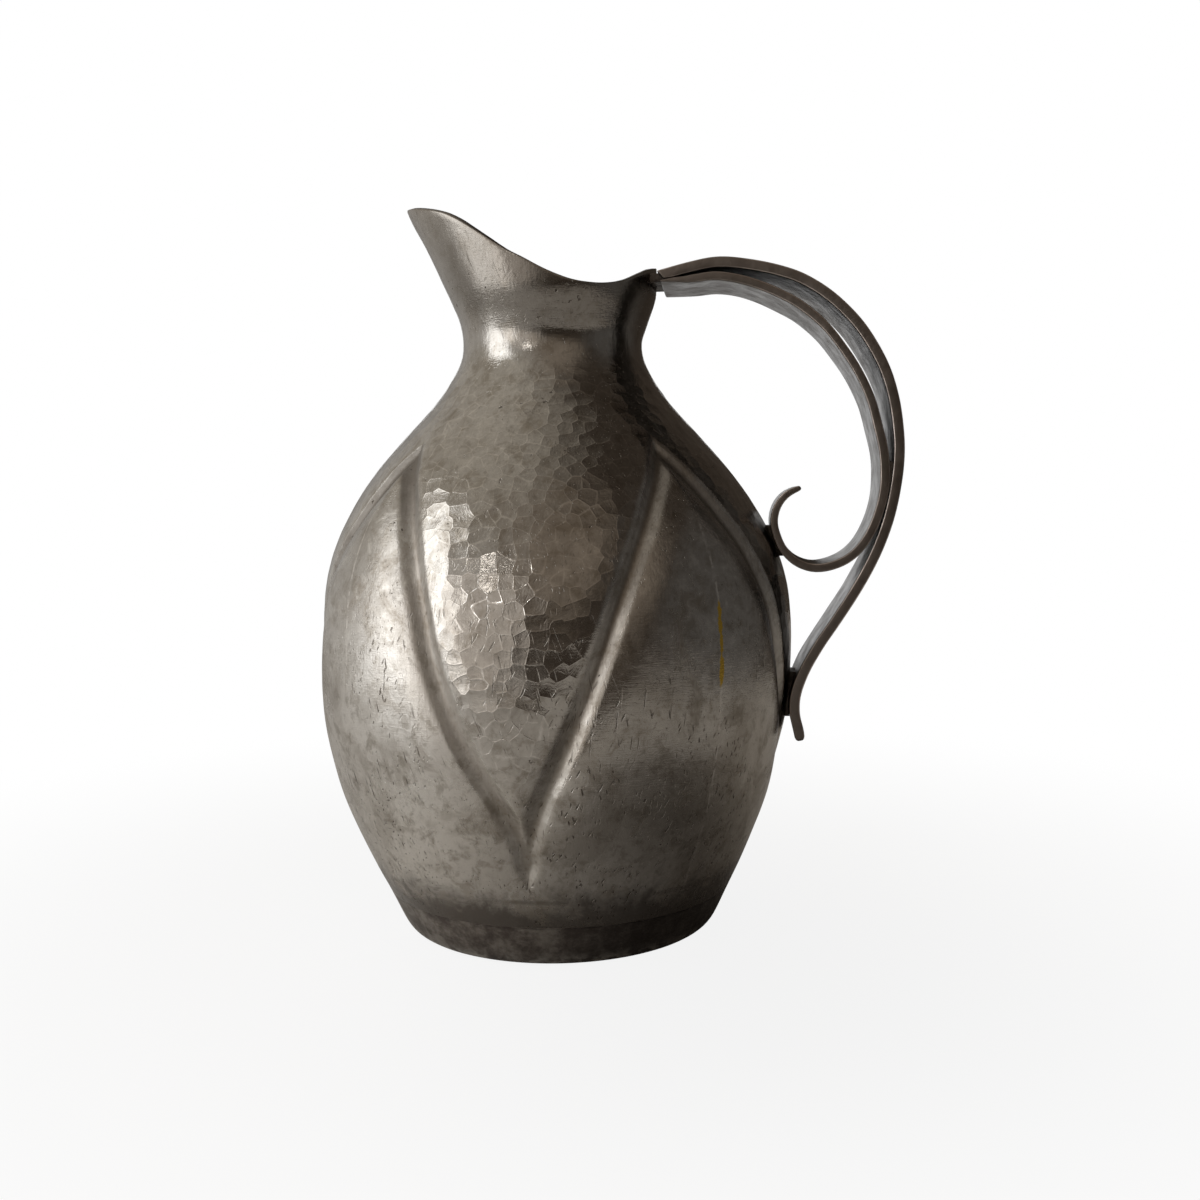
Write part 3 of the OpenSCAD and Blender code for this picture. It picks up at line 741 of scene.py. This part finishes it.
# %% Helpers for a finish
class Finish(Tree):
    """A material under construction."""

    def __init__(self, name):
        self.material = bpy.data.materials.new(name)
        super().__init__(self.material)
        self.shader = self.nodes["Principled BSDF"]

    def noise(self, scale, detail, stretch=None, rough=0.55, distortion=0):
        place = self.place
        if stretch:
            place = self.fill("ShaderNodeMapping", ("Vector", place), ("Scale", stretch)).outputs[0]
        return self.fill("ShaderNodeTexNoise", ("Vector", place), ("Scale", scale), ("Detail", detail),
                         ("Roughness", rough), ("Distortion", distortion)).outputs["Fac"]

    def strokes(self, length, width, lean, wide=0.2):
        """Short marks of a length and width in metres, leaning by degrees from the upright."""
        turn = self.nodes.new("ShaderNodeMapping")
        turn.vector_type = "TEXTURE"
        self.feed(turn, ("Vector", self.place), ("Scale", (width / length, width / length, 1)),
                  ("Rotation", (0, math.radians(lean), 0)),
                  ("Location", (0.01 * lean, 0.013 * lean, 0)))
        cells = self.fill("ShaderNodeTexVoronoi", ("Vector", turn.outputs[0]), ("Scale", 0.4 / length))
        return self.span(cells.outputs["Distance"], wide * 0.65, wide, 1, 0)

    def axes(self, vector=None):
        """The three numbers of a vector, or of the shaded place."""
        return self.fill("ShaderNodeSeparateXYZ", ("Vector", vector or self.place)).outputs

    def marked(self, name, output="Fac"):
        n = self.nodes.new("ShaderNodeAttribute")
        n.attribute_name = name
        return n.outputs[output]

    def hammered(self):
        """Lowest and second lowest of the six heights that the body carries."""
        heights = [h for name in ("blows_a", "blows_b") for h in self.axes(self.marked(name, "Vector"))]
        first = self.math("MINIMUM", heights[0], heights[1])
        second = self.math("MAXIMUM", heights[0], heights[1])
        for h in heights[2:]:
            second = self.math("MINIMUM", second, self.math("MAXIMUM", first, h))
            first = self.math("MINIMUM", first, h)
        return first, second

    def bump(self, height, distance, before=None, strength=1.0):
        n = self.fill("ShaderNodeBump", ("Strength", strength), ("Distance", distance),
                      ("Height", height))
        if before:
            self.links.new(before, n.inputs["Normal"])
        return n.outputs["Normal"]

    def done(self, colour, rough, normal, *pieces):
        """Make it all metal and give it to the pieces."""
        self.feed(self.shader, ("Metallic", 1.0), ("Base Color", colour), ("Roughness", rough),
                  ("Normal", normal))
        for piece in pieces:
            piece.data.materials.clear()
            piece.data.materials.append(self.material)

    def glow(self, share):
        """Turn to plain white by a share, for a sheet of the set."""
        white = self.nodes.new("ShaderNodeEmission")
        self.put(white.inputs["Color"], (1, 1, 1))
        self.links.new(self.swap(share, self.shader.outputs[0], white.outputs[0]),
                       self.nodes["Material Output"].inputs["Surface"])


print("helpers for a finish ready")

# %% [markdown]
# ## Patina
# Patina lies in large soft clouds, with brown stains and fine dirt over it.
# The neck and the lip are painted darker, partly patina and partly painted shade that dulls their
# reflection, with a painted shade patch on the left of the lip. Low on the body the colour is
# painted lighter, a painted reflection of the lit table, with a painted highlight low on the left leaf.
# Each coat below is a share and a colour, laid over what is there.

# %% Patina of the body
f = Finish("hammered_pewter")
cloud = f.noise(14, 5, rough=0.6, distortion=0.4)
stain = f.noise(55, 6, rough=0.68, distortion=1.2)
grime = f.noise(230, 5, rough=0.7, distortion=0.6)
mottle = f.noise(185, 7, rough=0.72, distortion=0.3)
rub = f.noise(95, 4, stretch=(16, 16, 1.6), rough=0.6)
z_now = f.axes()["Z"]
low_part = f.span(f.total(z_now, f.both(cloud, 0.05)), 0.09, 0.125, 1, 0.22)
blotch = f.both(f.span(f.noise(33, 6, rough=0.72, distortion=0.8), 0.47, 0.63), low_part)
# A painted highlight low on the left leaf.
painted_highlight_patch = f.near((-0.043, -0.047, 0.055), 0.012, 0.05)
lip_shade_patch = f.near((-0.0185, -0.0242, 0.183), 0.002, 0.026)

colour = f.blend(f.span(cloud, 0.3, 0.7), (0.37, 0.34, 0.305), (0.54, 0.52, 0.49))
colour = f.coats(colour,
                 (f.span(rub, 0.35, 0.75, 0, 0.3), (0.27, 0.245, 0.215)),
                 # Painted reflection: lighter low on the body, where it mirrors the lit table.
                 (f.span(z_now, 0.05, 0.1, 0.5, 0), (0.74, 0.7, 0.64)),
                 # Painted highlight low on the left leaf.
                 (f.both(painted_highlight_patch, 0.6), (0.9, 0.87, 0.82)),
                 (f.span(stain, 0.5, 0.7, 0, 0.55), (0.245, 0.205, 0.16)),
                 (f.span(grime, 0.52, 0.72, 0, 0.5), (0.2, 0.172, 0.14)),
                 (f.span(grime, 0.3, 0.47, 0.45, 0), (0.68, 0.65, 0.6)),
                 (f.span(mottle, 0.5, 0.64, 0, 0.5), (0.24, 0.205, 0.16)),
                 (f.span(mottle, 0.36, 0.48, 0.3, 0), (0.66, 0.625, 0.57)),
                 (f.both(blotch, 0.4), (0.27, 0.235, 0.19)),
                 # Darker neck and lip: partly patina, partly painted shade that dulls their reflection.
                 (f.span(z_now, 0.15, 0.178, 0, 0.6), (0.24, 0.215, 0.185)),
                 # Painted shade over the bright reflection on the left of the lip.
                 (f.both(lip_shade_patch, 0.5), (0.1, 0.088, 0.075)))
print("patina:", len(f.nodes), "nodes")

# %% [markdown]
# Cleaning cloths rub the ridges between the hammer blows bright. In the middle of the front field
# the ridges are painted near white, a painted highlight where the lamps mirror in the facets, and
# the crest of each leaf gets a painted highlight along it. The crest at the right has a
# brass-coloured streak. The bottoms of the chased lines are darker, and on the spout side of the
# left leaf the chased line is painted darker still, a painted shade. A ridge lies where the two
# lowest bowls are equally low, and it is broken up by the stains, as hand work is.

# %% Bright ridges and crests, dark lines
chased, inner_wall, field = f.marked("chased"), f.marked("inside"), f.marked("field")
first, second = f.hammered()
gap = f.total(f.math("SUBTRACT", second, first), f.span(grime, 0.3, 0.7, -0.006, 0.014))
ridge = f.both(f.span(gap, 0.0, 0.026, 1, 0), field)
ridge = f.both(ridge, f.span(stain, 0.36, 0.56, 0.35, 1))
# Where the ridges in the middle of the front field get a painted highlight.
ridge_glint_patch = f.either(f.near((-0.004, -0.0667, 0.098), 0.006, 0.0125),
                      f.both(f.near((-0.004, -0.066, 0.068), 0.008, 0.02), 0.35))
ridge_glint_patch = f.both(ridge_glint_patch, f.span(f.noise(700, 3), 0.42, 0.56, 0.1, 1))
# A patch of the chased line on the spout side, painted darker as painted shade, and rougher.
groove_shade_patch = f.both(f.near((-0.051, -0.031, 0.124), 0.02, 0.034), f.span(chased, 0.02, 0.3))

# The crest of a leaf lies where the two level axes are equal.
x_now, y_now = (f.math("ABSOLUTE", f.axes()[axis]) for axis in "XY")
crest = f.total(f.math("ABSOLUTE", f.math("SUBTRACT", x_now, y_now)),
                f.span(grime, 0.3, 0.7, -0.0006, 0.0006))
crest = f.both(f.span(crest, 0.0002, 0.0011, 1, 0), f.marked("leaf"))
brass = f.both(f.near((0.0475, -0.0475, 0.086), 0.006, 0.013), crest)
colour = f.coats(colour,
                 (f.both(field, 0.1), (0.3, 0.265, 0.22)),
                 (f.both(ridge, 0.5), (0.66, 0.62, 0.57)),
                 # Painted highlight: ridges near white where the lamps mirror in the facets.
                 (f.both(ridge, ridge_glint_patch), (0.97, 0.94, 0.9)),
                 # Darker at the bottom of the chased lines.
                 (f.span(chased, 0.75, 1.0, 0, 0.5), (0.2, 0.165, 0.13)),
                 # Painted shade in the chased line on the spout side.
                 (f.both(groove_shade_patch, 0.75), (0.16, 0.14, 0.12)),
                 # Painted highlight along the crest of each leaf.
                 (f.both(crest, f.span(grime, 0.42, 0.6, 0, 0.9)), (0.75, 0.71, 0.66)),
                 (f.span(brass, 0.05, 0.4), (0.62, 0.4, 0.06)))
print("with ridges and crests:", len(f.nodes), "nodes")

# %% [markdown]
# Short dark strokes and small pits gather low on the body, in clusters. A few longer scrapes lean
# the other way. A turned line runs round the foot just above the pan. Below it the metal is
# painted dark, a painted shade where the foot mirrors the jug's shadow on the table.
# The inner wall is darker.

# %% Strokes, pits and the dark foot
cluster = f.both(f.span(f.noise(38, 3), 0.42, 0.58, 0.08, 1), low_part)
stroke = f.either(f.strokes(0.012, 0.00048, 6, 0.16), f.strokes(0.006, 0.00055, -13),
                  f.strokes(0.0032, 0.0005, 30))
stroke = f.both(stroke, f.span(grime, 0.4, 0.55, 0.2, 1))
scrape = f.both(f.strokes(0.014, 0.0003, -21, 0.12), f.span(stain, 0.45, 0.6, 0.2, 0.8))
pit = f.both(f.span(f.noise(620, 2), 0.68, 0.75), f.span(f.noise(75, 3), 0.48, 0.6))
turned = f.span(f.math("ABSOLUTE", f.math("SUBTRACT", z_now, 0.0204)), 0.0001, 0.0011, 1, 0)
turned = f.both(turned, f.span(stain, 0.42, 0.6, 0.05, 0.5))
marks = f.either(f.both(stroke, cluster), pit, scrape, turned)
# The dark foot is painted shade: the foot mirrors the jug's shadow on the table.
foot = f.total(z_now, f.total(f.both(stain, 0.02), f.both(mottle, 0.016)))
colour = f.coats(colour,
                 (f.both(f.span(foot, 0.033, 0.043, 1, 0), 0.9), (0.11, 0.094, 0.08)),
                 (f.both(marks, 0.8), (0.085, 0.07, 0.055)),
                 # Darker inner wall.
                 (f.both(inner_wall, 0.6), (0.17, 0.15, 0.13)))
print("with strokes and pits:", len(f.nodes), "nodes")

# %% [markdown]
# Roughness is the sum of a few causes. The neck and the facets keep more of their polish,
# the leaves are brushed, and stains and marks are dull.
# The bumps are mostly far smaller than a tenth of a millimetre, each as high as its real mark.

# %% Polish and bumps of the body
from_neck = f.math("ABSOLUTE", f.math("SUBTRACT", z_now, 0.163))
rough = f.total(f.span(cloud, 0.3, 0.7, 0.24, 0.165),
                f.span(from_neck, 0.008, 0.02, -0.06, 0),
                f.span(stain, 0.45, 0.75, 0, 0.13),
                f.both(f.near((-0.045, -0.049, 0.085), 0.03, 0.06), 0.07),
                f.both(field, -0.08),
                f.span(chased, 0.05, 0.4, 0, 0.14),
                f.both(groove_shade_patch, 0.14),
                f.both(marks, 0.2))
brush = f.noise(90, 3, stretch=(3, 3, 40))
normal = None
for height, metres in ((f.both(first, f.both(field, 0.75)), 0.001),
                       (ridge, f.span(ridge_glint_patch, 0, 1, 0.000014, 0.00005)),
                       (brush, f.span(field, 0, 1, 0.00003, 0.000006)),
                       (rub, f.span(field, 0, 1, 0.00004, 0.000012)),
                       (grime, 0.00009)):
    normal = f.bump(height, metres, normal)
normal = f.bump(f.math("SUBTRACT", 1.0, marks), 0.00014, normal, 0.8)
f.done(colour, rough, normal, body)
print("body finish:", len(f.nodes), "nodes")

# %% [markdown]
# The pan is duller than the body: it is knocked on tables and never polished.
# It is painted near black at the right of the foot, a painted shade on the side away from the
# window, and its lowest edge is scuffed bright.
# The solder of its seam has the same skin.

# %% Finish of the pan
f = Finish("tarnished_pewter")
cloud, stain = f.noise(95, 7, rough=0.75), f.noise(260, 5)
band = f.noise(30, 4, stretch=(6, 6, 40))
lowest_edge = f.span(f.axes()["Z"], 0.001, 0.005, 1, 0)
# Painted shade at the right of the foot, away from the window.
right_foot_shade = f.near((0.036, -0.032, 0.004), 0.01, 0.045)
colour = f.blend(f.span(cloud, 0.4, 0.66), (0.12, 0.1, 0.088), (0.33, 0.3, 0.265))
colour = f.coats(colour,
                 (f.both(right_foot_shade, 0.7), (0.05, 0.043, 0.037)),
                 (f.both(lowest_edge, f.span(stain, 0.42, 0.6, 0, 0.8)), (0.55, 0.52, 0.47)),
                 (f.span(stain, 0.55, 0.7, 0, 0.5), (0.08, 0.068, 0.055)))
rough = f.span(cloud, 0.3, 0.7, 0.46, 0.3)
f.done(colour, rough, f.bump(band, 0.0002, f.bump(stain, 0.0002)), pan, solder[4])
print("pan finish:", len(f.nodes), "nodes")

# %% [markdown]
# The straps are dark from hands, with bright worn corners where the file left a burr,
# and browner side faces. The solder that holds them is darker and dirtier still.

# %% Finish of the straps and the solder
f = Finish("strap_pewter")
cloud, stain = f.noise(40, 5, rough=0.6), f.noise(190, 6, rough=0.7)
file_marks = f.noise(180, 2, stretch=(1, 0.06, 1))
worn = f.both(f.span(f.marked("burr"), 0.45, 0.85), f.span(cloud, 0.35, 0.55, 0.25, 0.9))
colour = f.blend(f.span(cloud, 0.35, 0.65), (0.085, 0.08, 0.077), (0.145, 0.14, 0.138))
colour = f.coats(colour,
                 (f.span(stain, 0.5, 0.72, 0, 0.5), (0.13, 0.108, 0.09)),
                 (f.both(f.marked("edge_face"), 0.75), (0.235, 0.2, 0.175)),
                 (worn, (0.8, 0.7, 0.64)))
rough = f.span(stain, 0.35, 0.7, 0.3, 0.44)
normal = f.bump(f.noise(420, 4), 0.00012, f.bump(file_marks, 0.0001))
f.done(colour, rough, normal, outer, inner)

f = Finish("solder")
cloud, stain = f.noise(150, 5, rough=0.7), f.noise(700, 4)
colour = f.blend(f.span(cloud, 0.35, 0.65), (0.06, 0.05, 0.042), (0.13, 0.112, 0.096))
colour = f.blend(f.span(stain, 0.55, 0.7, 0, 0.6), colour, (0.03, 0.025, 0.022))
rough = f.span(cloud, 0.3, 0.7, 0.6, 0.42)
f.done(colour, rough, f.bump(stain, 0.00025), *solder[:4])
print("strap and solder finishes made")

# %% [markdown]
# ## Light
# The highlights say where the light was. Mirrored at the wall of the body, the long one on the neck
# and the belly points to a big window at the left, from the table up to half height.
# A second small one points to a lamp above the camera. Low on the right the body mirrors the edge
# of a pale table, and above that edge a dim room that is a little lighter behind the jug.
#
# The table keeps the shadow near the jug and turns to plain white farther off.
# Its paint is darker to the right of the foot, a painted shadow of the jug, so that the body
# mirrors almost black there.
# The backdrop is white where the camera, a mirror or glass sees it, and gives no light of its own.

# %% Table and white backdrop
def stage_sheet(name, corners):
    """A flat sheet of the set in pale paint. Returns its finish."""
    bm = bmesh.new()
    bm.faces.new([bm.verts.new(c) for c in corners])
    sheet = new_thing(name, bm, False)
    f = Finish(name)
    f.feed(f.shader, ("Base Color", (0.85, 0.85, 0.85)), ("Roughness", 0.7))
    sheet.data.materials.append(f.material)
    return f


left, front, far_right, behind, top = -0.7, -0.42, 0.4, 1.1, 0.6
f = stage_sheet("table", [(left, front, 0), (far_right, front, 0), (far_right, behind, 0),
                          (left, behind, 0)])
# Painted shadow of the jug on the table, darkest to the right of the foot.
shadow_to_pale = f.span(f.measure("DISTANCE", f.place, (0.085, -0.075, 0)), 0, 0.15)
f.put(f.shader.inputs["Base Color"], f.blend(shadow_to_pale, (0.16, 0.15, 0.14), (0.85, 0.84, 0.83)))
whiter = f.span(f.measure("LENGTH", f.place), 0.06, 0.34, 0.88, 1.0)
f.glow(f.both(whiter, f.seen_by("Camera")))

f = stage_sheet("backdrop", [(-0.45, behind, 0), (0.1, behind, 0), (0.1, behind, top),
                             (-0.45, behind, top)])
f.glow(f.seen_by("Camera", "Glossy", "Transmission"))
print("table and backdrop ready")


# %% Lamps
belly_middle = Vector((0, 0, 0.11))


def lamp(name, azimuth, elevation, away, size, size_y, power, colour=(1, 1, 1)):
    """A rectangular lamp. The azimuth counts from the camera side, plus to the right."""
    a, e = math.radians(azimuth), math.radians(elevation)
    to = Vector((math.sin(a) * math.cos(e), -math.cos(a) * math.cos(e), math.sin(e)))
    data = bpy.data.lights.new(name, "AREA")
    data.shape = "RECTANGLE"
    data.size, data.size_y, data.energy, data.color = size, size_y, power, colour
    thing = bpy.data.objects.new(name, data)
    thing.matrix_world = (Matrix.Translation(belly_middle + to * away)
                          @ to.to_track_quat("Z", "Y").to_matrix().to_4x4())
    thing.visible_camera = False
    bpy.context.scene.collection.objects.link(thing)


lamp("window", -68, 17, 0.8, 0.36, 0.86, 2.15, (0.94, 0.97, 1))
lamp("window_low", -46, 3, 0.8, 0.16, 0.44, 0.42)
lamp("small_lamp", -25, 28, 1.4, 0.09, 0.13, 0.26, (1, 0.98, 0.95))

# %% [markdown]
# The room is a colour for each direction. It is dark and warm at the right, a little lighter
# behind the camera, and pale on the window side and under the ceiling there.
# Each patch is a direction, and how close to it a ray must come to take its colour.
# Seen by the camera, the room is white paper.

# %% Room
world = bpy.data.worlds.new("room")
bpy.context.scene.world = world
room = Tree(world, "Generated")
colour = (0.055, 0.044, 0.035)
for way, start, end, paint in (((0.1, -0.76, 0.64), 0.72, 1.0, (0.27, 0.23, 0.19)),
                               ((1, 0, 0.05), 0.6, 1.0, (0.12, 0.115, 0.11)),
                               ((-1, 0, 0), 0.0, 0.95, (0.66, 0.64, 0.61)),
                               ((-0.94, -0.3, 0.08), 0.86, 0.98, (0.93, 0.92, 0.91)),
                               ((-0.6, 0.1, 0.8), 0.55, 1.0, (0.5, 0.465, 0.41)),
                               ((-0.5, -0.85, 0.16), 0.88, 0.97, (0.7, 0.65, 0.6))):
    toward = room.measure("DOT_PRODUCT", room.place, Vector(way).normalized())
    colour = room.blend(room.span(toward, start, end), colour, paint)
walls = room.nodes["Background"]
room.put(walls.inputs["Color"], colour)
paper = room.fill("ShaderNodeBackground", ("Color", (1, 1, 1)))
room.put(room.nodes["World Output"].inputs["Surface"],
         room.swap(room.seen_by("Camera"), walls.outputs[0], paper.outputs[0]))
bpy.context.scene.view_settings.view_transform = "Standard"
print("room ready:", len(room.nodes), "nodes")
